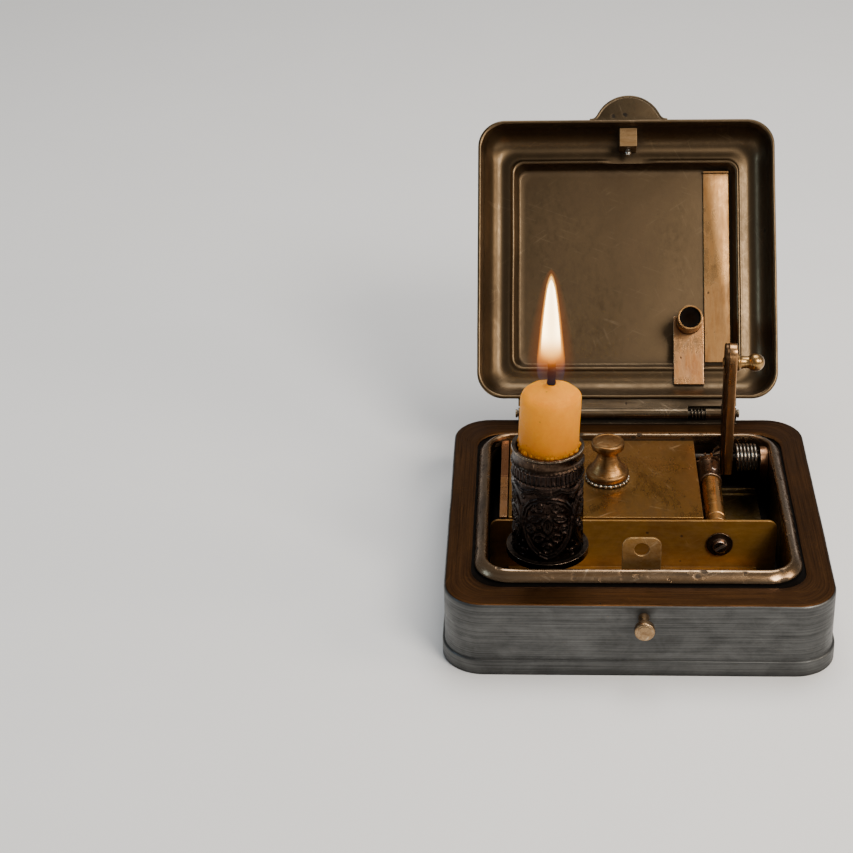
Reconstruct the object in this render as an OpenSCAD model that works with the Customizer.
// Mechanical candle box, open and with the candle raised.
// Origin: centre of the base's footprint, on the ground. X right, Y back, Z up, millimetres.
// Closing the lid turns it 130 degrees forward; the lift arm and the candle fold down with it.

/* [Base case] */
// Width of the border from the tray's side walls to the base's sides
border_side = 13; // [11:0.5:20]
// Width of the border from the tray's front and rear walls to the base's front and rear
border_end = 16.6; // [16.2:0.2:22]
// Height of the base's top border above the ground
base_h = 25; // [25:0.5:34]
// Radius of the base's upright corners
base_corner = 12.5; // [10:0.5:16]
// Sheet thickness of the base case
case_t = 1; // [0.8:0.1:1.6]
// Rounding of the base's top edge
edge_r = 0.8; // [0.4:0.1:1.2]
// Height of the plinth band round the foot
plinth_h = 5.5; // [3:0.5:8]
// How far the plinth band stands out
plinth_out = 0.8; // [0.4:0.1:1.4]
// Thickness of the bottom plate
bottom_t = 1; // [0.8:0.1:2]

/* [Liner tray] */
// Inside width of the tray
tray_w = 94; // [92:1:100]
// Inside depth of the tray
tray_d = 83.8; // [82:0.2:88]
// Depth of the tray floor below the border
tray_depth = 18; // [17.5:0.5:20]
// Sheet thickness of the tray
tray_t = 0.8; // [0.6:0.1:1.2]
// Radius of the tray's inside corners
tray_corner = 7.5; // [5:0.5:10]
// Height of the tray's rim above the border
rim_h = 3; // [2:0.2:4]
// Width of the tray's rim at its foot
rim_foot = 4; // [2.6:0.2:4.4]
// Width of the flat on top of the rim
rim_top = 0.9; // [0.5:0.1:1.4]

/* [Lid] */
// Height of the lid's raised plate above its lip
lid_h = 16.7; // [16.2:0.1:20]
// Sheet thickness of the lid
lid_t = 0.8; // [0.6:0.1:1]
// Corner radius of the lid's lip
lid_corner = 9.5; // [8:0.5:12]
// Width of the lid's lip
lip_w = 1.2; // [1:0.1:1.6]
// Height of the lip's rolled bead
lip_h = 1.4; // [1:0.1:2]
// Distance of the bulge's crest from the lid's edge
crest_in = 8.5; // [7:0.5:10]
// Height of the bulge's crest above the lip
crest_h = 13.2; // [12:0.2:14]
// Height of the cove's bottom above the lip
cove_h = 12.2; // [11:0.2:12.6]
// Distance of the raised plate from the lid's edge
plate_in = 13.4; // [12:0.2:15]
// Corner radius of the raised plate
plate_corner = 3.5; // [2:0.5:5]
// Radius of the cove at the plate's foot
cove_r = 0.9; // [0.5:0.1:1.2]
// Gap between the lid's lip and the rim at the sides
lid_gap_side = 0.4; // [0.3:0.1:1]
// Gap between the lid's lip and the rim at the front
lid_gap_front = 0.9; // [0.8:0.1:2.5]
// Gap between the lid's lip and the rim at the rear
lid_gap_rear = 5.4; // [5:0.2:7]
// Gap under the lip when the lid is shut
lid_rest_gap = 0.3; // [0.2:0.1:0.6]
// Opening angle of the lid
open_angle = 127; // [100:1:135]
// Width of the half-round thumb tab
thumb_w = 25; // [18:1:30]
// How far the thumb tab stands out
thumb_out = 9; // [6:0.5:10]
// Thickness of the thumb tab
thumb_t = 0.8; // [0.6:0.1:1.2]

/* [Hinge] */
// Outer diameter of the hinge barrel
barrel_d = 4; // [3.4:0.2:5]
// Diameter of the hinge pin
hinge_pin_d = 2; // [1.6:0.1:2.4]
// Length of the whole hinge barrel
barrel_l = 76; // [70:1:84]
// Length of the left base knuckle
knuckle_left = 11.7; // [8:0.5:15]
// Length of the right base knuckle
knuckle_right = 10.6; // [8:0.5:14]
// Room for the hinge spring along the barrel
spring_room = 6.2; // [6:0.1:7]
// Thickness of the hinge leaves
leaf_t = 0.5; // [0.4:0.1:0.8]
// Distance of the hinge axis from the base's rear edge
hinge_back = 1; // [0.6:0.1:2]
// Diameter of the hinge spring's wire
hinge_wire = 0.6; // [0.4:0.1:0.6]

/* [Candle and holder] */
// Diameter of the candle
candle_d = 18.8; // [17:0.2:20]
// Height of the candle's shoulder above the holder
candle_up = 18.6; // [10:0.2:20]
// Height of the candle's rounded top
candle_dome = 3; // [2:0.2:4]
// Diameter of the wick
wick_d = 1.7; // [1.2:0.1:2.4]
// Height of the wick above the candle
wick_up = 7; // [4:0.2:8]
// Gap round the candle in its holder
candle_gap = 0.35; // [0.3:0.05:0.6]
// Wall of the candle holder
holder_t = 1.55; // [1.2:0.05:1.8]
// Length of the candle holder
holder_l = 37.5; // [30:0.5:38]
// How far the cup stands out round the holder
cup_out = 1.7; // [0.8:0.1:1.8]
// Height of the cup's wall above its floor
cup_wall_h = 1.4; // [1:0.1:2.4]
// Thickness of the cup's floor
cup_floor = 0.9; // [0.7:0.1:1.4]
// Diameter of the tilting shaft
tilt_shaft_d = 2; // [1.6:0.1:2.2]
// Width of the fork's ears and of the lug between them
ear_w = 4.4; // [3.8:0.1:5]
// Thickness of each fork ear
ear_t = 1.2; // [0.8:0.1:1.6]
// Length of the lug under the cup
lug_l = 8; // [6:0.5:10]
// Room between the cup and the tray's left wall
cup_side_gap = 6; // [3:0.5:7]

/* [Lift arm and drive] */
// Thickness of the lift arm
arm_t = 4; // [2.5:0.1:4.4]
// Width of the lift arm
arm_w = 7; // [5:0.2:7.4]
// Reach of the arm's top above its pivot
arm_top = 43.2; // [38:0.2:44.6]
// Length of the arm's tail below its pivot
arm_tail = 5.8; // [4:0.1:5.8]
// Height of the ball-ended pin above the pivot
ball_up = 36.4; // [30:0.2:38]
// Diameter of the ball
ball_d = 6; // [4:0.2:7]
// Diameter of the ball pin's stem
ball_stem_d = 4.2; // [3:0.2:5]
// How far the ball's end stands out from the arm
ball_out = 9.2; // [8:0.2:10]
// Place of the arm's left face from the middle of the box
arm_x = 30.9; // [30.9:0.1:32.6]
// Distance of the arm's pivot from the tray's rear wall
arm_back = 6.4; // [6.2:0.1:7.2]
// Diameter of the arm's shaft
arm_shaft_d = 2.5; // [2:0.1:3]
// Diameter of the lift spring's coils, outside
lift_spring_d = 9.5; // [8:0.1:10]
// Diameter of the lift spring's wire
lift_wire = 0.95; // [0.8:0.05:1.1]
// Number of curls in the lift spring
lift_curls = 5; // [3:1:5]
// Pitch radius of the bevel gears
gear_r = 3.6; // [3.4:0.1:3.8]
// Number of teeth on each bevel gear
gear_teeth = 10; // [8:1:12]
// Outer diameter of the drive tube
drive_d = 6.2; // [5:0.1:6.4]
// Radius from the drive's axis to its crank pin
crank_r = 7; // [6.8:0.1:8]
// Width of the cranks and the link
crank_w = 3; // [2.6:0.1:3.2]
// Thickness of the cranks
crank_t = 1; // [0.8:0.1:1.2]
// Thickness of the link
link_t = 0.8; // [0.6:0.1:1]
// Depth of the bearing's screw below the drive tube's axis
screw_down = 6.2; // [5.2:0.1:6.4]
// Diameter of the crank pins
crank_pin_d = 1.6; // [1.2:0.1:1.8]

/* [Partition and cover] */
// Thickness of the partition
partition_t = 0.8; // [0.6:0.1:1]
// Height of the partition's top above the border
partition_up = 0.3; // [0:0.1:1]
// Width of the partition's foot
partition_foot = 5; // [3:0.5:6]
// Thickness of the cover plate
cover_t = 0.8; // [0.6:0.1:1.2]
// Height of the cover plate's top above the border
cover_up = 1; // [0.6:0.1:1.4]
// Room for the cranks and the link between the partition and the compartment
crank_room = 10.1; // [9.5:0.1:14]
// Place of the knob to the left of the box's middle
knob_left = 8; // [4:0.5:14]
// Place of the knob behind the compartment's front wall
knob_back = 14.8; // [10:0.2:22]
// Place of the cover plate's right edge from the middle of the box
cover_right = 22.2; // [21:0.1:22.4]
// Place of the cover plate's left edge from the middle of the box
cover_left = -40.6; // [-41:0.1:-36]
// Height of the knob on the cover
knob_h = 14.2; // [10:0.2:14.4]
// Diameter of the knob's flared foot
knob_d = 14.2; // [10:0.2:16]
// Diameter of the knob's cap
knob_cap_d = 10.8; // [7:0.2:12]
// Diameter of the knob's neck
knob_neck_d = 6.7; // [5:0.1:8]

/* [Latch] */
// Side offset of the latch and the thumb tab
latch_x = 1; // [0:0.5:2]
// Diameter of the push button's head
button_d = 6.2; // [5:0.2:8]
// Thickness of the push button's head
button_t = 3; // [2:0.2:4]
// Diameter of the push button's stem
stem_d = 3.4; // [2.4:0.2:4]
// How far the push button's face stands out
button_out = 8.4; // [7:0.2:10]
// Depth of the push button's axis below the border
button_down = 4; // [4:0.2:6]
// Stroke of the push button
stroke = 2.4; // [2.2:0.1:2.8]
// Width of the catch tab
tab_w = 12.1; // [8:0.1:14]
// Thickness of the catch tab
tab_t = 0.8; // [0.6:0.1:1]
// Height of the catch tab's top above the border
tab_up = 11.6; // [10.8:0.1:11.8]
// Diameter of the hole in the catch tab
tab_hole_d = 4.6; // [4:0.1:5]
// Height of the tab's hole and the latch pin above the border
catch_up = 7.4; // [6.8:0.1:7.6]
// Width of the latch block in the lid
block_w = 6.2; // [5:0.2:8]
// Length of the latch block, front to back
block_l = 6.8; // [5:0.2:7]
// How far the latch pin reaches out of the block
latch_pin_l = 2.6; // [2:0.1:2.6]
// Diameter of the latch pin
latch_pin_d = 1.6; // [1.2:0.1:2]

/* [Lid fittings] */
// Outer diameter of the tube in the lid
tube_d = 8.8; // [7:0.2:10]
// Bore of the tube in the lid
tube_bore = 7.4; // [6:0.2:8]
// Distance of the tube from the hinge axis
tube_from_hinge = 34; // [31:0.5:36]
// Side offset of the tube
tube_x = 22.3; // [21.6:0.1:22.6]
// Width of the tube's bracket
bracket_w = 10.6; // [10:0.2:11]
// Width of the brass strip in the lid
strip_w = 9.2; // [7:0.1:9.4]
// Thickness of the strip and the bracket
strip_t = 0.7; // [0.5:0.1:0.9]

/* [Hidden] */
$fn = 48;

// Running clearance of pins and shafts in their bores, on the radius
run = 0.05;
// Room left between parts that pass each other
room = 0.4;
// Smooth-curve steps of one rounded edge
arc_steps = 4;

// Base, built outward from the tray
base_w = tray_w + 2 * border_side;
base_d = tray_d + 2 * border_end;

// Heights
floor_z = base_h - tray_depth;
partition_z = base_h + partition_up;
cover_z = base_h + cover_up;
button_z = base_h - button_down;
catch_z = base_h + catch_up;
rim_z = base_h + rim_h;

// Hinge and lid, measured in the shut lid: l runs forward from the hinge axis, n runs up from it
hinge_y = base_d / 2 - hinge_back;
hinge_z = base_h + leaf_t + lid_rest_gap + barrel_d / 2;
lip_n = base_h + lid_rest_gap - hinge_z;
lid_w = tray_w + 2 * (rim_foot + lid_gap_side + lip_w);
lid_front_y = -(tray_d / 2 + rim_foot + lid_gap_front + lip_w);
lid_rear_y = tray_d / 2 + rim_foot + lid_gap_rear + lip_w;
lid_l0 = hinge_y - lid_rear_y;
lid_l1 = hinge_y - lid_front_y;
lid_d = lid_l1 - lid_l0;
lid_mid = (lid_l0 + lid_l1) / 2;
wall_in = 1;
plate_n = lip_n + lid_h - lid_t;
cove_n = lip_n + cove_h - lid_t;

// Latch: the block's rear face stands clear of the tab's front face through the last of the swing
tab_front_y = lid_front_y + lip_w + 8.6;
tab_rear_y = tab_front_y + tab_t;
block_rear_l = hinge_y - tab_front_y + 0.8;
block_front_l = block_rear_l + block_l;
button_face_y = -base_d / 2 - button_out;

// Candle: the folded holder clears the pressed tab, and the partition clears the cup
holder_d = candle_d + 2 * (candle_gap + holder_t);
cup_d = holder_d + 2 * cup_out;
tilt_x = -tray_w / 2 + cup_d / 2 + cup_side_gap;
tilt_y = tab_rear_y + stroke + room + holder_d / 2;
tilt_z = floor_z + cup_d / 2 + 0.5;
cup_off = ear_w / 2 + room;
cup_z = tilt_z + cup_off;
holder_z = cup_z + cup_floor;
candle_top_z = holder_z + holder_l + candle_up;
partition_y = tilt_y + cup_d / 2 + room;
partition_rear_y = partition_y + partition_t;

// Drive: the arm's shaft and the drive tube cross at one height, in front of the tray's rear wall
gear_hub = 0.7;
arm_y = tray_d / 2 - arm_back;
drive_z = tilt_z + 2.4;
drive_x = arm_x - gear_r - gear_hub;
crank_y = partition_rear_y + 3.9;
link_y = crank_y + crank_t + room;
crank_pin_y = link_y + link_t + room;
crank_reach = crank_r * cos(45);
gear_face = 1.3;
tooth_up = 0.35;
tooth_down = 0.5;
tooth_share = 0.36;
end_bracket_x = tray_w / 2 - 2.6;
end_bracket_t = 2.3;
compartment_x = cover_right - 0.2;
compartment_y = partition_rear_y + crank_room;
compartment_t = 0.8;
knob_x = -knob_left;
knob_y = compartment_y + knob_back;
knob_stem_d = 3;
bearing_t = 3.2;
screw_x = drive_x + 1;
screw_z = drive_z - screw_down;

// outlines and sweeps

// Rounded rectangle with true arcs
module rounded_rect(w, d, r)
{
    square([w - 2 * r, d], center = true);
    square([w, d - 2 * r], center = true);
    for (x = [-1, 1], y = [-1, 1])
        translate([x * (w / 2 - r), y * (d / 2 - r)])
            circle(r);
}

// Sweeps an outline round a rounded rectangle; its x runs outward from that rectangle and its y up
module swept_frame(w, d, r)
{
    for (turn = [0, 180])
        rotate(turn) {
            translate([w / 2, (d - 2 * r) / 2, 0])
                rotate([90, 0, 0])
                    linear_extrude(d - 2 * r)
                        children();
            rotate(90)
                translate([d / 2, (w - 2 * r) / 2, 0])
                    rotate([90, 0, 0])
                        linear_extrude(w - 2 * r)
                            children();
            translate([w / 2 - r, d / 2 - r, 0])
                rotate_extrude(angle = 90)
                    translate([r, 0])
                        children();
            translate([r - w / 2, d / 2 - r, 0])
                rotate(90)
                    rotate_extrude(angle = 90)
                        translate([r, 0])
                            children();
        }
}

// Cylinder along X, from x0 to x1
module rod_x(x0, x1, d, y, z)
{
    translate([x0, y, z])
        rotate([0, 90, 0])
            cylinder(d = d, h = x1 - x0);
}

// Cylinder along Y, from y0 to y1
module rod_y(y0, y1, d, x, z)
{
    translate([x, y1, z])
        rotate([90, 0, 0])
            cylinder(d = d, h = y1 - y0);
}

// Keeps its children a small gap clear of the tray's walls
module in_tray()
{
    intersection() {
        union()
            children();
        translate([0, 0, floor_z - 1])
            linear_extrude(tray_depth + 10)
                rounded_rect(tray_w - 0.6, tray_d - 0.6, tray_corner - 0.3);
    }
}

// Flat bar with round ends in the XZ plane, from [x0, z0] to [x1, z1], between y0 and y1
module bar_xz(x0, z0, x1, z1, w, y0, y1)
{
    rod_y(y0, y1, w, x0, z0);
    rod_y(y0, y1, w, x1, z1);
    translate([x0, y0, z0])
        rotate([0, -atan2(z1 - z0, x1 - x0), 0])
            translate([0, 0, 0.05 - w / 2])
                cube([norm([x1 - x0, z1 - z0]), y1 - y0, w - 0.1]);
}

// Points of an arc of an ellipse
function arc(cx, cy, rx, ry, a0, a1, n) =
    [for (i = [0:n]) let (a = a0 + (a1 - a0) * i / n) [cx + rx * cos(a), cy + ry * sin(a)]];

// coiled springs

// Centre line of a coil along +X: a straight end, the curls, a straight end
function coil_line(l, r, curls, wire) =
    let (rings = 8, a_end = 360 * curls, body = l - 2 * wire)
    concat(
        [[0, r, 0]],
        [for (i = [0:rings * curls])
            let (a = 360 * i / rings) [wire + body * i / (rings * curls), r * cos(a), r * sin(a)]],
        [[l, r * cos(a_end), r * sin(a_end)]]);

// Least gap between one curl and the next
function coil_gap(line, wire) =
    min([for (i = [0:len(line) - 8], j = [i + 6:min(i + 10, len(line) - 1)])
        norm(line[i] - line[j])]) - wire;

// Tube of six sides along a coil's centre line
module coil_tube(l, r, curls, wire)
{
    line = coil_line(l, r, curls, wire);
    count = len(line);
    sides = 6;
    pts = [for (i = [0:count - 1])
        let (
            ahead = line[min(i + 1, count - 1)],
            back = line[max(i - 1, 0)],
            end = i == 0 || i == count - 1,
            along = end ? [1, 0, 0] : (ahead - back) / norm(ahead - back),
            out = [0, line[i][1], line[i][2]] / r,
            side = cross(along, out) / norm(cross(along, out)),
            up = cross(side, along))
        for (k = [0:sides - 1])
            line[i] + wire / 2 * (up * cos(60 * k) + side * sin(60 * k))];
    walls = [for (i = [0:count - 2], k = [0:sides - 1])
        let (a = i * sides + k, b = i * sides + (k + 1) % sides)
        each [[a, b, b + sides], [a, b + sides, a + sides]]];
    cap = [for (k = [1:sides - 2]) [0, k + 1, k]];
    end_cap = [for (k = [1:sides - 2])
        [(count - 1) * sides, (count - 1) * sides + k, (count - 1) * sides + k + 1]];
    polyhedron(pts, concat(walls, cap, end_cap), convexity = 6);
}

lift_spring_x = arm_x + arm_t + 0.3;
lift_spring_l = end_bracket_x - lift_spring_x;
lift_spring_r = (lift_spring_d - lift_wire) / 2;
hinge_spring_r = hinge_pin_d / 2 + hinge_wire / 2 + 0.3;
hinge_spring_l = spring_room - 0.3;
hinge_curls = 4;
button_wire = 0.5;
button_spring_r = stem_d / 2 + button_wire / 2 + 0.3;
button_curls = 6;
collar_y = -base_d / 2 + case_t + 3;
collar_t = 1;
collar_d = min(stem_d + 3, 2 * (base_h - case_t - button_z) - 0.2);
button_spring_y = collar_y + collar_t;
button_spring_l = -tray_d / 2 - tray_t - button_spring_y;
echo(least_gap_lift_spring =
    coil_gap(coil_line(lift_spring_l, lift_spring_r, lift_curls, lift_wire), lift_wire));
echo(least_gap_hinge_spring =
    coil_gap(coil_line(hinge_spring_l, hinge_spring_r, hinge_curls, hinge_wire), hinge_wire));
echo(least_gap_button_spring =
    coil_gap(coil_line(button_spring_l, button_spring_r, button_curls, button_wire), button_wire));

// base

// Wall of the base case as an outline: x runs outward from the wall's inner face
module case_wall_outline()
{
    polygon(concat(
        [[0, 0], [case_t + plinth_out, 0], [case_t + plinth_out, plinth_h - 0.4],
            [case_t, plinth_h + 0.3]],
        arc(case_t - edge_r, base_h - edge_r, edge_r, edge_r, 0, 90, arc_steps),
        [[-3, base_h], [-3, base_h - case_t], [0, base_h - case_t]]));
}

module base_case()
{
    color([0.16, 0.12, 0.09])
        difference() {
            union() {
                swept_frame(base_w - 2 * case_t, base_d - 2 * case_t, base_corner - case_t)
                    case_wall_outline();
                translate([0, 0, base_h - case_t])
                    linear_extrude(case_t)
                        rounded_rect(base_w - 2 * case_t - 2, base_d - 2 * case_t - 2, base_corner - case_t - 1);
            }
            // opening that the tray hangs in
            translate([0, 0, base_h - case_t - 1])
                linear_extrude(case_t + 2)
                    rounded_rect(tray_w + 2 * tray_t + 0.4, tray_d + 2 * tray_t + 0.4, tray_corner + tray_t + 0.2);
            // hole for the push button's stem
            rod_y(-base_d / 2 - 2, -base_d / 2 + case_t + 1, stem_d + 2 * run, latch_x, button_z);
        }
}

module bottom_plate()
{
    color([0.2, 0.15, 0.11])
        linear_extrude(bottom_t)
            rounded_rect(base_w - 2 * case_t - 0.2, base_d - 2 * case_t - 0.2, base_corner - case_t - 0.1);
}

module liner_tray()
{
    color([0.55, 0.47, 0.36])
        difference() {
            union() {
                swept_frame(tray_w, tray_d, tray_corner)
                    polygon([
                        [0, floor_z - tray_t], [0, rim_z - 0.5], [0.2, rim_z - 0.15], [0.5, rim_z],
                        [0.5 + rim_top, rim_z], [0.9 + rim_top, rim_z - 0.2],
                        [rim_foot, base_h + 0.6], [rim_foot, base_h],
                        [tray_t, base_h], [tray_t, floor_z - tray_t]]);
                translate([0, 0, floor_z - tray_t])
                    linear_extrude(tray_t)
                        rounded_rect(tray_w + tray_t, tray_d + tray_t, tray_corner + tray_t / 2);
            }
            rod_y(-tray_d / 2 - tray_t - 1, -tray_d / 2 + 1, stem_d + 2 * run, latch_x, button_z);
        }
}

partition_x0 = -tray_w / 2 + 0.4;
partition_x1 = tray_w / 2 - 1.2;
partition_corner = 3;

module partition()
{
    color([0.62, 0.45, 0.2])
        difference() {
            union() {
                translate([0, partition_rear_y, 0])
                    rotate([90, 0, 0])
                        linear_extrude(partition_t) {
                            translate([partition_x0, floor_z])
                                square([partition_x1 - partition_x0, partition_z - partition_corner - floor_z]);
                            translate([partition_x0 + partition_corner, floor_z])
                                square([partition_x1 - partition_x0 - 2 * partition_corner, partition_z - floor_z]);
                            for (x = [partition_x0 + partition_corner, partition_x1 - partition_corner])
                                translate([x, partition_z - partition_corner])
                                    circle(partition_corner);
                        }
                translate([partition_x0 + 6, partition_y - partition_foot, floor_z])
                    cube([partition_x1 - partition_x0 - 12, partition_foot + partition_t, 0.8]);
            }
            rod_y(partition_y - 1, partition_rear_y + 1, tilt_shaft_d + 2 * run, tilt_x, tilt_z);
            rod_y(partition_y - 1, partition_rear_y + 1, 2.5, screw_x, screw_z);
        }
}

// Open box under the cover plate; its right wall carries the arm's shaft
module match_compartment()
{
    top = cover_z - cover_t;
    depth = tray_d / 2 - 0.4 - compartment_y;
    width = compartment_x - cover_left - 1;
    color([0.5, 0.36, 0.18])
        difference() {
            in_tray()
                translate([cover_left + 1, compartment_y, floor_z])
                    cube([width, depth, top - floor_z]);
            translate([cover_left + 1 + compartment_t, compartment_y + compartment_t, floor_z + compartment_t])
                cube([width - 2 * compartment_t, depth - 2 * compartment_t, top - floor_z]);
            rod_x(compartment_x - compartment_t - 1, compartment_x + 1, arm_shaft_d + 2 * run, arm_y, drive_z);
        }
}

module cover_plate()
{
    color([0.66, 0.48, 0.22])
        difference() {
            in_tray()
                translate([cover_left, partition_rear_y + 0.2, cover_z - cover_t])
                    cube([cover_right - cover_left, tray_d / 2 - 0.4 - partition_rear_y - 0.2, cover_t]);
            translate([knob_x, knob_y, cover_z - cover_t - 1])
                cylinder(d = knob_stem_d + 2 * run, h = cover_t + 2);
        }
}

// Folded strip at the tray's left side, with a flat top
module side_clip(y0, y1)
{
    clip_x = cover_left - 0.4;
    in_tray() {
        translate([clip_x - 2.5, y0, cover_z - 0.4])
            cube([2.5, y1 - y0, 0.6]);
        translate([clip_x - 0.6, y0, floor_z])
            cube([0.6, y1 - y0, cover_z - floor_z]);
    }
}

clip_split_y = knob_y + 1;

module cover_clip_front()
{
    color([0.72, 0.42, 0.22])
        side_clip(partition_rear_y + 0.3, clip_split_y - 0.15);
}

module cover_clip_rear()
{
    color([0.55, 0.3, 0.16])
        side_clip(clip_split_y + 0.15, tray_d / 2 - 0.8);
}

module cover_knob()
{
    foot_r = knob_d / 2;
    neck_r = knob_neck_d / 2;
    cap_r = knob_cap_d / 2;
    color([0.6, 0.45, 0.28])
        translate([knob_x, knob_y, cover_z + run])
            rotate_extrude()
                polygon(concat(
                    [[0, -3.4], [knob_stem_d / 2, -3.4], [knob_stem_d / 2, 0], [foot_r - 0.6, 0],
                        [foot_r - 0.6, 1.4]],
                    arc(foot_r - 1.3, 2.6, 1.3, 1.2, -60, 70, arc_steps),
                    arc(foot_r + 0.4, knob_h - 4.6, foot_r + 0.4 - neck_r, knob_h - 8.4, 235, 180, arc_steps + 2),
                    [[neck_r, knob_h - 3.6], [cap_r - 0.8, knob_h - 3]],
                    arc(cap_r - 0.9, knob_h - 2, 0.9, 0.9, -70, 80, arc_steps),
                    [[cap_r * 0.5, knob_h - 0.3], [0, knob_h]]));
}

module knob_bead_ring()
{
    beads = 26;
    bead_d = 1.2;
    bead_orbit = knob_d / 2 - 0.2;
    color([0.6, 0.5, 0.38])
        translate([knob_x, knob_y, cover_z + run + bead_d / 2 + 0.05])
            difference() {
                union() {
                    for (i = [0:beads - 1])
                        rotate(360 * i / beads)
                            translate([bead_orbit, 0, 0])
                                sphere(d = bead_d, $fn = 16);
                    rotate_extrude()
                        translate([bead_orbit - 0.3, 0])
                            square([0.6, 0.5], center = true);
                }
                translate([0, 0, -2])
                    cylinder(r = knob_d / 2 - 0.55, h = 4);
            }
}

module knob_washer()
{
    color([0.5, 0.4, 0.25])
        translate([knob_x, knob_y, cover_z - cover_t - 1.4])
            difference() {
                cylinder(d = 7, h = 1);
                translate([0, 0, -1])
                    cylinder(d = knob_stem_d + 2 * run, h = 3);
            }
}

// hinge

barrel_x0 = -barrel_l / 2;
barrel_x1 = barrel_l / 2;
lid_knuckle_x0 = barrel_x0 + knuckle_left + 0.3;
base_right_x0 = barrel_x1 - knuckle_right;
lid_knuckle_x1 = base_right_x0 - spring_room;

module knuckle(x0, x1)
{
    difference() {
        rod_x(x0, x1, barrel_d, hinge_y, hinge_z);
        rod_x(x0 - 1, x1 + 1, hinge_pin_d + 2 * run, hinge_y, hinge_z);
    }
}

module base_hinge_leaf()
{
    leaf_front = hinge_y - barrel_d / 2 - 0.9;
    leaf_rear = base_d / 2 - 0.3;
    color([0.62, 0.5, 0.34])
        difference() {
            union() {
                translate([barrel_x0, leaf_front, base_h])
                    cube([barrel_l, leaf_rear - leaf_front, leaf_t]);
                for (x = [[barrel_x0, barrel_x0 + knuckle_left], [base_right_x0, barrel_x1]]) {
                    rod_x(x[0], x[1], barrel_d, hinge_y, hinge_z);
                    translate([x[0], hinge_y - 0.8, base_h + leaf_t / 2])
                        cube([x[1] - x[0], 1.6, hinge_z - base_h - leaf_t / 2]);
                }
            }
            rod_x(barrel_x0 - 1, barrel_x1 + 1, hinge_pin_d + 2 * run, hinge_y, hinge_z);
        }
}

module hinge_pin()
{
    color([0.6, 0.58, 0.55]) {
        rod_x(barrel_x0 - 0.2, barrel_x1 + 0.2, hinge_pin_d, hinge_y, hinge_z);
        rod_x(barrel_x0 - 1, barrel_x0 - 0.2, hinge_pin_d + 0.9, hinge_y, hinge_z);
        rod_x(barrel_x1 + 0.2, barrel_x1 + 1, hinge_pin_d + 0.9, hinge_y, hinge_z);
    }
}

module hinge_spring()
{
    color([0.75, 0.7, 0.62])
        translate([lid_knuckle_x1 + 0.3, hinge_y, hinge_z])
            coil_tube(hinge_spring_l, hinge_spring_r, hinge_curls, hinge_wire);
}

// lid, drawn shut about the hinge axis and then swung open

module lid_place()
{
    translate([0, hinge_y, hinge_z])
        rotate([-open_angle, 0, 0])
            children();
}

// Outline of the lid's sheet: distance in from the edge, height above the lip
rise_steps = 5;
function rise(x0, h0, x1, h1) =
    [for (i = [1:rise_steps - 1])
        let (t = i / rise_steps) [x0 + (x1 - x0) * t, h0 + (h1 - h0) * (1 - cos(180 * t)) / 2]];
bulge_steps = 9;
lid_outside = concat(
    [[plate_in + 0.5, lid_h], [plate_in + 0.12, lid_h - 0.15], [plate_in, lid_h - 0.5]],
    arc(plate_in - cove_r, cove_h + cove_r, cove_r, cove_r, 0, -90, 3),
    rise(plate_in - cove_r, cove_h, crest_in, crest_h),
    arc(crest_in, lip_h, crest_in - wall_in, crest_h - lip_h, 90, 180, bulge_steps),
    [[0.5, lip_h], [0.12, lip_h - 0.2], [0, lip_h - 0.5], [0, 0.35], [0.3, 0]]);
lid_inside = concat(
    [[lip_w, 0], [lip_w, 0.4]],
    arc(crest_in, lip_h, crest_in - wall_in - lid_t, crest_h - lip_h - lid_t, 180, 90, bulge_steps),
    rise(crest_in, crest_h - lid_t, plate_in - cove_r, cove_h - lid_t),
    arc(plate_in - cove_r, cove_h + cove_r, cove_r + lid_t, cove_r + lid_t, -90, 0, 3),
    [[plate_in + lid_t, lid_h - lid_t]]);
corner_steps = 6;

// One ring of the lid at a distance in from its edge
function lid_ring(inset, h) =
    let (
        w = lid_w / 2 - inset,
        d = lid_d / 2 - inset,
        r = max(plate_corner, lid_corner - (lid_corner - plate_corner) * inset / plate_in))
    [for (q = [0:3], i = [0:corner_steps])
        let (
            a = 90 * q + 90 * i / corner_steps,
            sx = (q == 0 || q == 3) ? 1 : -1,
            sy = q < 2 ? 1 : -1)
        [sx * (w - r) + r * cos(a), sy * (d - r) + r * sin(a) - lid_mid, lip_n + h]];

module lid_shell()
{
    outline = concat(lid_outside, lid_inside);
    ring_size = 4 * (corner_steps + 1);
    rings = len(outline);
    pts = [for (p = outline) each lid_ring(p[0], p[1])];
    walls = [for (i = [0:rings - 2], k = [0:ring_size - 1])
        let (a = i * ring_size + k, b = i * ring_size + (k + 1) % ring_size)
        each [[a, b, b + ring_size], [a, b + ring_size, a + ring_size]]];
    top = [[for (k = [ring_size - 1:-1:0]) k]];
    inner = [[for (k = [0:ring_size - 1]) (rings - 1) * ring_size + k]];
    color([0.42, 0.3, 0.17])
        lid_place()
            polyhedron(pts, concat(walls, top, inner), convexity = 8);
}

module lid_hinge_leaf()
{
    leaf_n = lip_n + lip_h;
    leaf_l1 = lid_l0 + 0.9;
    clear_l = barrel_d / 2 + 0.4;
    color([0.5, 0.4, 0.27])
        lid_place()
            difference() {
                union() {
                    translate([barrel_x0, -leaf_l1, leaf_n])
                        cube([barrel_l, leaf_l1 - clear_l, leaf_t]);
                    translate([lid_knuckle_x0, -clear_l - 0.1, leaf_n])
                        cube([lid_knuckle_x1 - lid_knuckle_x0, clear_l, leaf_t]);
                    rod_x(lid_knuckle_x0, lid_knuckle_x1, barrel_d, 0, 0);
                }
                rod_x(lid_knuckle_x0 - 1, lid_knuckle_x1 + 1, hinge_pin_d + 2 * run, 0, 0);
            }
}

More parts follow.
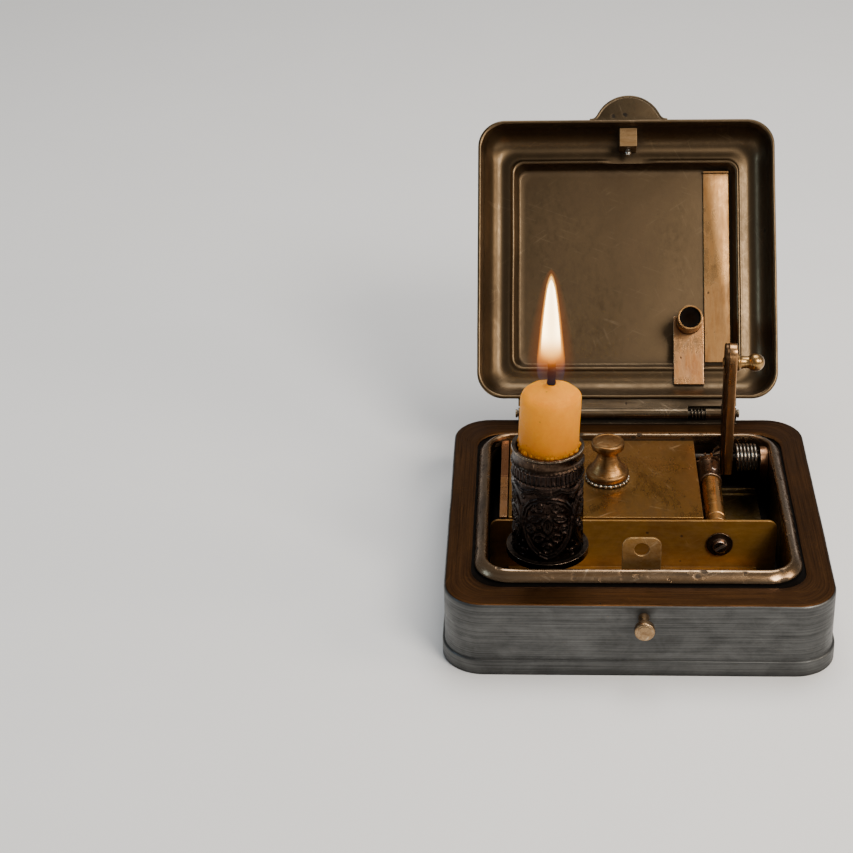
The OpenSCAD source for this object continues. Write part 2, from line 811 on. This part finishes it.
module lid_thumb_tab()
{
    half = thumb_w / 2;
    thumb_r = (half * half + thumb_out * thumb_out) / (2 * thumb_out);
    bead_d = 1.2;
    color([0.42, 0.3, 0.17])
        lid_place()
            translate([latch_x, -lid_l1, lip_n + 0.3])
                intersection() {
                    translate([0, thumb_r - thumb_out, 0]) {
                        cylinder(r = thumb_r, h = thumb_t);
                        translate([0, 0, thumb_t / 2])
                            rotate_extrude()
                                translate([thumb_r - bead_d / 2, 0])
                                    circle(d = bead_d, $fn = 16);
                    }
                    translate([-thumb_w, -2 * thumb_out, -2])
                        cube([2 * thumb_w, 2 * thumb_out, 5]);
                }
}

// Applied relief: a helmeted head in profile over a mantle, facing right
module emblem_outline(points, t0, t1)
{
    translate([0, 0, t0])
        linear_extrude(t1 - t0)
            polygon(points);
}

emblem_crest = concat(
    arc(-3.4, -0.6, 11.2, 13.2, 28, 176, 14),
    arc(-3.4, -0.6, 7.2, 8.6, 176, 28, 12));
emblem_helmet = concat(
    arc(-1.4, 1.2, 7.4, 7.2, 8, 188, 12),
    [[-9.4, -3.6], [-6.2, -4.8], [-3.4, -3.4], [-1.2, -5.2], [1.2, -4.6], [1.6, -1.8], [6.4, -0.4]]);
emblem_face = [
    [1.2, 1.6], [5.0, 1.6], [5.3, 0.4], [5.6, -1.1], [6.3, -2.4], [5.4, -2.9], [5.7, -3.6],
    [5.2, -4.1], [5.5, -4.8], [4.6, -6.1], [2.6, -6.2], [1.6, -7.6], [-3.4, -7.6], [-3.6, -2.2]];
emblem_mantle = [
    [-3.8, -6.2], [2.2, -6.2], [6.4, -8.0], [10.6, -8.4], [12.4, -10.4], [9.4, -13.2], [5.4, -13.0],
    [1.4, -15.2], [-3.0, -13.8], [-7.2, -14.4], [-10.6, -11.6], [-12.2, -8.8], [-8.4, -7.6]];

module lid_emblem()
{
    emblem_t = 0.5;
    color([0.75, 0.62, 0.5])
        lid_place()
            translate([0, -lid_mid - 1, lip_n + lid_h]) {
                emblem_outline(emblem_mantle, 0, emblem_t + 0.5);
                emblem_outline(emblem_face, 0, emblem_t + 0.8);
                emblem_outline(emblem_helmet, 0, emblem_t + 1.2);
                emblem_outline(emblem_crest, 0, emblem_t + 1.5);
            }
}

strip_x0 = lid_w / 2 - plate_in - lid_t - 0.9 - strip_w;
strip_l0 = lid_l0 + plate_in + lid_t + 1.1;
strip_l1 = lid_l1 - plate_in - lid_t - 1.1;

module lid_strip()
{
    fold_t = 0.7;
    color([0.66, 0.47, 0.28])
        lid_place() {
            translate([strip_x0, -strip_l1, plate_n - strip_t])
                cube([strip_w, strip_l1 - strip_l0, strip_t]);
            translate([strip_x0, -strip_l1, plate_n - strip_t - 1.1])
                cube([strip_w, fold_t, 1.6]);
        }
}

tube_mouth_n = cover_z + 0.6 - hinge_z;

module lid_tube()
{
    color([0.55, 0.38, 0.22])
        lid_place()
            translate([tube_x, -tube_from_hinge, tube_mouth_n])
                difference() {
                    cylinder(d = tube_d, h = plate_n - tube_mouth_n);
                    translate([0, 0, -1])
                        cylinder(d = tube_bore, h = plate_n - tube_mouth_n);
                }
}

module tube_bracket()
{
    bracket_n = cove_n - 0.3 - strip_t;
    bracket_l0 = lid_l0 + 6.6;
    color([0.78, 0.5, 0.3])
        lid_place()
            difference() {
                translate([tube_x - bracket_w / 2, -tube_from_hinge - 2, bracket_n])
                    cube([bracket_w, tube_from_hinge + 2 - bracket_l0, strip_t]);
                translate([tube_x, -tube_from_hinge, bracket_n - 1])
                    cylinder(d = tube_d + 2 * run, h = strip_t + 2);
            }
}

module latch_block()
{
    under = concat(
        [for (p = lid_inside) if (p[0] > lip_w && p[0] <= plate_in - cove_r) [p[0] - lid_l1, p[1] + lip_n - 0.25]],
        [[plate_in - cove_r - lid_l1, lip_n], [wall_in + lid_t - lid_l1, lip_n]]);
    color([0.62, 0.5, 0.36])
        lid_place()
            translate([latch_x, 0, 0])
                intersection() {
                    translate([-block_w / 2, -block_front_l, rim_z - hinge_z + room])
                        cube([block_w, block_l, lid_h]);
                    rotate([90, 0, 90])
                        translate([0, 0, -block_w])
                            linear_extrude(2 * block_w)
                                polygon(under);
                }
}

module latch_pin()
{
    ball_r = 1.15;
    pin_n = catch_z - hinge_z;
    color([0.8, 0.78, 0.74])
        lid_place()
            translate([latch_x, -block_rear_l, pin_n]) {
                rotate([-90, 0, 0])
                    cylinder(d = latch_pin_d, h = latch_pin_l - ball_r);
                translate([0, latch_pin_l - ball_r, 0])
                    sphere(r = ball_r);
            }
}

// push button and catch

module push_button()
{
    dome = 0.5;
    color([0.7, 0.5, 0.3]) {
        rod_y(button_face_y + button_t, tab_front_y, stem_d, latch_x, button_z);
        translate([latch_x, button_face_y, button_z])
            rotate([-90, 0, 0])
                rotate_extrude()
                    polygon([
                        [0, 0], [button_d / 2 - 0.9, 0.08], [button_d / 2 - 0.25, dome - 0.1],
                        [button_d / 2, dome + 0.3], [button_d / 2, button_t - 0.3],
                        [button_d / 2 - 0.3, button_t], [0, button_t]]);
    }
}

module catch_tab()
{
    tab_corner = 3;
    tab_z0 = button_z - stem_d / 2 - 2;
    tab_z1 = base_h + tab_up;
    color([0.66, 0.52, 0.32])
        difference() {
            translate([latch_x, tab_rear_y, 0])
                rotate([90, 0, 0])
                    linear_extrude(tab_t) {
                        translate([-tab_w / 2, tab_z0])
                            square([tab_w, tab_z1 - tab_corner - tab_z0]);
                        translate([tab_corner - tab_w / 2, tab_z0])
                            square([tab_w - 2 * tab_corner, tab_z1 - tab_z0]);
                        for (s = [-1, 1])
                            translate([s * (tab_w / 2 - tab_corner), tab_z1 - tab_corner])
                                circle(tab_corner);
                    }
            rod_y(tab_front_y - 1, tab_rear_y + 1, tab_hole_d, latch_x, catch_z);
        }
}

module button_collar()
{
    color([0.6, 0.5, 0.35])
        difference() {
            rod_y(collar_y, collar_y + collar_t, collar_d, latch_x, button_z);
            rod_y(collar_y - 1, collar_y + collar_t + 1, stem_d + 2 * run, latch_x, button_z);
        }
}

module button_spring()
{
    color([0.7, 0.7, 0.68])
        translate([latch_x, button_spring_y, button_z])
            rotate(90)
                coil_tube(button_spring_l, button_spring_r, button_curls, button_wire);
}

// candle and its tilting mount

lug_y0 = tilt_y - lug_l / 2;
lug_y1 = tilt_y + lug_l / 2;
ear_gap = 0.2;

module tilt_fork()
{
    color([0.5, 0.36, 0.2])
        difference() {
            union() {
                for (y = [lug_y0 - ear_gap - ear_t, lug_y1 + ear_gap])
                    translate([tilt_x, 0, 0]) {
                        rod_y(y, y + ear_t, ear_w, 0, tilt_z);
                        translate([-ear_w / 2, y, floor_z])
                            cube([ear_w, ear_t, tilt_z - floor_z]);
                    }
                translate([tilt_x - ear_w, lug_y0 - ear_gap - ear_t, floor_z])
                    cube([ear_w * 1.5, lug_l + 2 * (ear_gap + ear_t), 1]);
            }
            rod_y(lug_y0 - 5, lug_y1 + 5, tilt_shaft_d + 2 * run, tilt_x, tilt_z);
        }
}

module tilt_shaft()
{
    color([0.6, 0.55, 0.5]) {
        rod_y(lug_y0 - ear_gap - ear_t - 0.3, crank_y + crank_t, tilt_shaft_d, tilt_x, tilt_z);
        rod_y(lug_y0 - ear_gap - ear_t - 1.1, lug_y0 - ear_gap - ear_t - 0.3, tilt_shaft_d + 1.2, tilt_x, tilt_z);
    }
}

module candle_cup()
{
    color([0.16, 0.1, 0.07])
        difference() {
            union() {
                translate([tilt_x, tilt_y, cup_z])
                    cylinder(d = cup_d, h = cup_floor + cup_wall_h);
                rod_y(lug_y0, lug_y1, ear_w, tilt_x, tilt_z);
                translate([tilt_x - ear_w / 2, lug_y0, tilt_z])
                    cube([ear_w, lug_l, cup_off + 0.2]);
            }
            translate([tilt_x, tilt_y, holder_z])
                cylinder(d = holder_d + 2 * run, h = cup_wall_h + 1);
            rod_y(lug_y0 - 1, lug_y1 + 1, tilt_shaft_d + 2 * run, tilt_x, tilt_z);
        }
}

module candle_holder()
{
    r = holder_d / 2;
    bore = r - holder_t;
    color([0.1, 0.07, 0.06])
        translate([tilt_x, tilt_y, holder_z])
            rotate_extrude()
                polygon([
                    [bore, 0], [r - 0.4, 0], [r - 0.4, cup_wall_h + 0.6], [r, cup_wall_h + 1],
                    [r, cup_wall_h + 1.8], [r - 0.5, cup_wall_h + 2.2],
                    [r - 0.5, holder_l - 12.6], [r, holder_l - 12.2], [r, holder_l - 11.4],
                    [r - 0.4, holder_l - 11], [r - 0.4, holder_l - 7], [r, holder_l - 6.6],
                    [r, holder_l - 5.8], [r - 0.4, holder_l - 5.4], [r - 0.4, holder_l - 0.8],
                    [r, holder_l - 0.5], [r - 0.2, holder_l], [bore, holder_l]]);
}

module candle()
{
    r = candle_d / 2;
    shoulder = 2.4;
    color([0.9, 0.62, 0.28])
        translate([tilt_x, tilt_y, 0])
            rotate_extrude()
                polygon(concat(
                    [[0, holder_z], [r, holder_z]],
                    arc(r - shoulder, candle_top_z - shoulder, shoulder, shoulder, 0, 70, arc_steps),
                    [[r * 0.5, candle_top_z + candle_dome * 0.35], [wick_d, candle_top_z + candle_dome * 0.8],
                        [wick_d / 2 + run, candle_top_z + candle_dome],
                        [wick_d / 2 + run, candle_top_z - 4], [0, candle_top_z - 4]]));
}

module wick()
{
    color([0.05, 0.04, 0.04])
        translate([tilt_x, tilt_y, candle_top_z - 4])
            cylinder(d = wick_d, h = 4 + candle_dome + wick_up);
}

// Crank on a shaft along Y: an arm down and to the right, with a pin to the rear
module crank(x, z, shaft_d)
{
    px = x + crank_reach;
    pz = z - crank_reach;
    difference() {
        bar_xz(x, z, px, pz, crank_w, crank_y, crank_y + crank_t);
        rod_y(crank_y - 1, crank_y + crank_t + 1, shaft_d + 2 * run, x, z);
    }
    rod_y(crank_y + crank_t / 2, crank_pin_y, crank_pin_d, px, pz);
}

module candle_crank()
{
    color([0.6, 0.45, 0.25])
        crank(tilt_x, tilt_z, tilt_shaft_d);
}

module link_bar()
{
    x0 = tilt_x + crank_reach;
    z0 = tilt_z - crank_reach;
    x1 = drive_x + crank_reach;
    z1 = drive_z - crank_reach;
    color([0.64, 0.5, 0.3])
        difference() {
            bar_xz(x0, z0, x1, z1, crank_w, link_y, link_y + link_t);
            rod_y(link_y - 1, link_y + link_t + 1, crank_pin_d + 2 * run, x0, z0);
            rod_y(link_y - 1, link_y + link_t + 1, crank_pin_d + 2 * run, x1, z1);
        }
}

// drive and lift arm

journal_d = 2.4;
tube_front_y = crank_y + crank_t;
gear_back_y = arm_y - gear_r;
rear_bearing_y = gear_back_y - gear_hub - 3.6;
rear_bearing_t = 2;

module drive_crank()
{
    color([0.6, 0.45, 0.25])
        crank(drive_x, drive_z, journal_d);
}

module drive_tube()
{
    color([0.72, 0.46, 0.24]) {
        rod_y(tube_front_y, gear_back_y - gear_hub, drive_d, drive_x, drive_z);
        rod_y(partition_rear_y + 0.2, tube_front_y + 1, journal_d, drive_x, drive_z);
    }
}

// Bevel gear along +Z, with its cone's tip at z = gear_r: the blank ends in a hub at its back
module bevel_gear(turn)
{
    inner = gear_r - gear_face;
    intersection() {
        rotate_extrude()
            polygon([
                [0, -gear_hub], [gear_r - 1, -gear_hub], [gear_r - 1, -0.4], [gear_r + tooth_up, 0.1 - tooth_up],
                [gear_r + tooth_up, 0.3 - tooth_up], [inner + tooth_up, gear_face + 0.2], [0, gear_face]]);
        union() {
            rotate_extrude()
                polygon([
                    [0, -gear_hub], [gear_r - 1, -gear_hub], [gear_r - 1, -0.4], [gear_r - tooth_down, -0.3],
                    [inner - tooth_down, gear_face - 0.2], [0, gear_face - 0.2]]);
            for (i = [0:gear_teeth - 1])
                rotate(turn + 360 * i / gear_teeth)
                    linear_extrude(6, center = true)
                        polygon([
                            [0.6, 0],
                            for (s = [-1, 1])
                                let (a = s * 180 * tooth_share / gear_teeth) [6 * cos(a), 6 * sin(a)]]);
        }
    }
}

module drive_gear()
{
    color([0.66, 0.4, 0.24])
        translate([drive_x, gear_back_y, drive_z])
            rotate([-90, 0, 0])
                bevel_gear(0);
}

module arm_gear()
{
    color([0.66, 0.4, 0.24])
        difference() {
            translate([drive_x + gear_r, arm_y, drive_z])
                rotate([0, -90, 0])
                    bevel_gear(270 - 180 / gear_teeth);
            rod_x(drive_x, arm_x + 1, arm_shaft_d + 2 * run, arm_y, drive_z);
        }
}

module drive_rear_bearing()
{
    ring_d = drive_d + 1.4;
    color([0.6, 0.38, 0.22])
        difference() {
            union() {
                rod_y(rear_bearing_y, rear_bearing_y + rear_bearing_t, ring_d, drive_x, drive_z);
                translate([drive_x - ring_d / 2, rear_bearing_y, floor_z])
                    cube([ring_d, rear_bearing_t, drive_z - floor_z]);
            }
            rod_y(rear_bearing_y - 1, rear_bearing_y + rear_bearing_t + 1, drive_d + 2 * run, drive_x, drive_z);
        }
}

module drive_front_bearing()
{
    color([0.55, 0.4, 0.22])
        difference() {
            translate([drive_x - 3, partition_rear_y, screw_z - 3.5])
                cube([6, bearing_t, drive_z + 2.6 - screw_z + 3.5]);
            rod_y(partition_rear_y - 1, partition_rear_y + bearing_t + 1, journal_d + 2 * run, drive_x, drive_z);
            rod_y(partition_rear_y - 1, partition_rear_y + 2.7, 2.5, screw_x, screw_z);
        }
}

module bearing_washer()
{
    color([0.45, 0.3, 0.22])
        difference() {
            rod_y(partition_y - 0.6, partition_y, 8.6, screw_x, screw_z);
            rod_y(partition_y - 2, partition_y + 1, 2.5, screw_x, screw_z);
        }
}

module bearing_screw()
{
    head_y = partition_y - 0.6 - 1.8;
    color([0.6, 0.5, 0.45])
        difference() {
            union() {
                rod_y(partition_y - 0.7, partition_rear_y + 2.6, 2.4, screw_x, screw_z);
                translate([screw_x, partition_y - 0.6, screw_z])
                    rotate([90, 0, 0])
                        cylinder(d1 = 5, d2 = 4.2, h = 1.8);
            }
            translate([screw_x, head_y, screw_z])
                rotate([0, 35, 0])
                    cube([8, 1.8, 0.8], center = true);
        }
}

module lift_arm()
{
    waist = arm_w - 1;
    color([0.5, 0.34, 0.18])
        difference() {
            union() {
                rod_x(arm_x, arm_x + arm_t, arm_w, arm_y, drive_z + arm_top - arm_w / 2);
                rod_x(arm_x, arm_x + arm_t, arm_w, arm_y, drive_z);
                translate([arm_x, arm_y - waist / 2, drive_z])
                    cube([arm_t, waist, arm_top - arm_w / 2]);
                intersection() {
                    translate([arm_x, arm_y - waist / 2, drive_z - arm_tail])
                        cube([arm_t, waist, arm_tail]);
                    rod_x(arm_x - 1, arm_x + arm_t + 1, 2 * (arm_back - room), arm_y, drive_z);
                }
            }
            rod_x(arm_x - 1, arm_x + arm_t + 1, arm_shaft_d + 2 * run, arm_y, drive_z);
        }
}

module arm_ball_pin()
{
    x0 = arm_x + arm_t;
    color([0.72, 0.52, 0.28])
        translate([x0, arm_y, drive_z + ball_up])
            rotate([0, 90, 0])
                rotate_extrude()
                    polygon(concat(
                        [[0, 0], [ball_stem_d / 2 + 0.7, 0], [ball_stem_d / 2 + 0.5, 0.8], [ball_stem_d / 2, 1.4],
                            [ball_stem_d / 2, ball_out - ball_d / 2 - sqrt(pow(ball_d / 2, 2) - pow(ball_stem_d / 2, 2))]],
                        arc(0, ball_out - ball_d / 2, ball_d / 2, ball_d / 2, -asin(sqrt(1 - pow(ball_stem_d / ball_d, 2))), 90, 10)));
}

module arm_boss()
{
    boss_t = arm_x - drive_x - drive_d / 2 - room;
    color([0.25, 0.17, 0.12])
        rod_x(arm_x - boss_t, arm_x, 4.4, arm_y, drive_z + ball_up * 0.5);
}

module arm_shaft()
{
    color([0.6, 0.55, 0.48])
        rod_x(compartment_x - compartment_t - 0.4, end_bracket_x + end_bracket_t - 0.7, arm_shaft_d, arm_y, drive_z);
}

module lift_spring()
{
    color([0.8, 0.78, 0.74])
        translate([lift_spring_x, arm_y, drive_z])
            coil_tube(lift_spring_l, lift_spring_r, lift_curls, lift_wire);
}

module shaft_end_bracket()
{
    bracket_r = 4.6;
    color([0.7, 0.42, 0.25])
        difference() {
            in_tray() {
                rod_x(end_bracket_x, end_bracket_x + end_bracket_t, 2 * bracket_r, arm_y, drive_z - 1);
                translate([end_bracket_x, arm_y - bracket_r, floor_z])
                    cube([end_bracket_t, 2 * bracket_r, drive_z - 1 - floor_z]);
            }
            rod_x(end_bracket_x - 1, end_bracket_x + end_bracket_t + 1, arm_shaft_d + 2 * run, arm_y, drive_z);
        }
}

module bay_floor_plate()
{
    x0 = arm_x + 0.4;
    x1 = end_bracket_x - 0.3;
    y0 = partition_rear_y + 0.3;
    y1 = arm_y + 4.4;
    color([0.5, 0.38, 0.16]) {
        translate([x0, y0, floor_z])
            cube([x1 - x0, y1 - y0, 0.8]);
        for (y = [y1 - 0.6, y1 - 4])
            rod_x(x0, x1, 1.1, y, floor_z + 0.8);
    }
}

base_case();
bottom_plate();
liner_tray();
partition();
match_compartment();
cover_plate();
cover_clip_front();
cover_clip_rear();
cover_knob();
knob_bead_ring();
knob_washer();
base_hinge_leaf();
hinge_pin();
hinge_spring();
lid_shell();
lid_hinge_leaf();
lid_thumb_tab();
lid_emblem();
lid_strip();
lid_tube();
tube_bracket();
latch_block();
latch_pin();
push_button();
catch_tab();
button_collar();
button_spring();
tilt_fork();
tilt_shaft();
candle_cup();
candle_holder();
candle();
wick();
candle_crank();
link_bar();
drive_crank();
drive_tube();
drive_gear();
drive_rear_bearing();
drive_front_bearing();
bearing_washer();
bearing_screw();
arm_gear();
lift_arm();
arm_ball_pin();
arm_boss();
arm_shaft();
lift_spring();
shaft_end_bracket();
bay_floor_plate();
